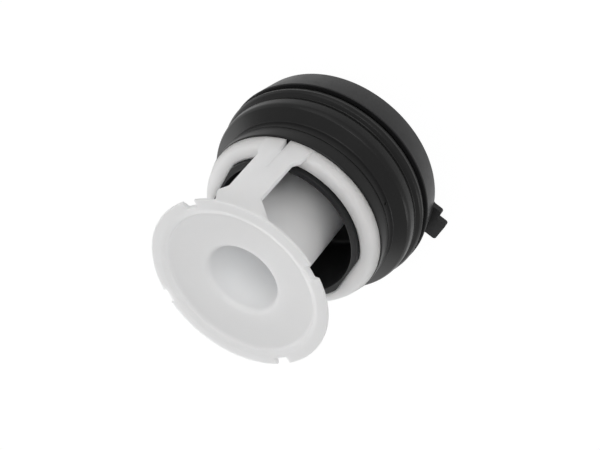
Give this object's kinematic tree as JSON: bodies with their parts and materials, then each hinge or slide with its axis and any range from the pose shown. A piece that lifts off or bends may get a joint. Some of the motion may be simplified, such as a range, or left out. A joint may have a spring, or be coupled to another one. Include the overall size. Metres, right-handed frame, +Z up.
{
  "type": "lint filter",
  "caption": "Drain pump lint filter: a black turn-in cap with a ribbed rubber seal and a white insert of a notched funnel disc, an open tube, a strut and a snap ring.",
  "frame": {"origin": "centre of the cap's flat end, on the grip bar, which lies level with the standing face", "axes": "+Z up the filter's axis from the cap to the disc, +X towards the bayonet lug"},
  "size_m": [0.0686, 0.066, 0.06],
  "materials": {
    "cap": "semi-gloss moulded black plastic",
    "seal": "satin moulded black rubber",
    "filter_insert": "satin moulded white plastic"
  },
  "bodies": {
    "root": {"cap": "cap", "seal": "seal", "filter_insert": "filter_insert"}
  },
  "joints": []
}
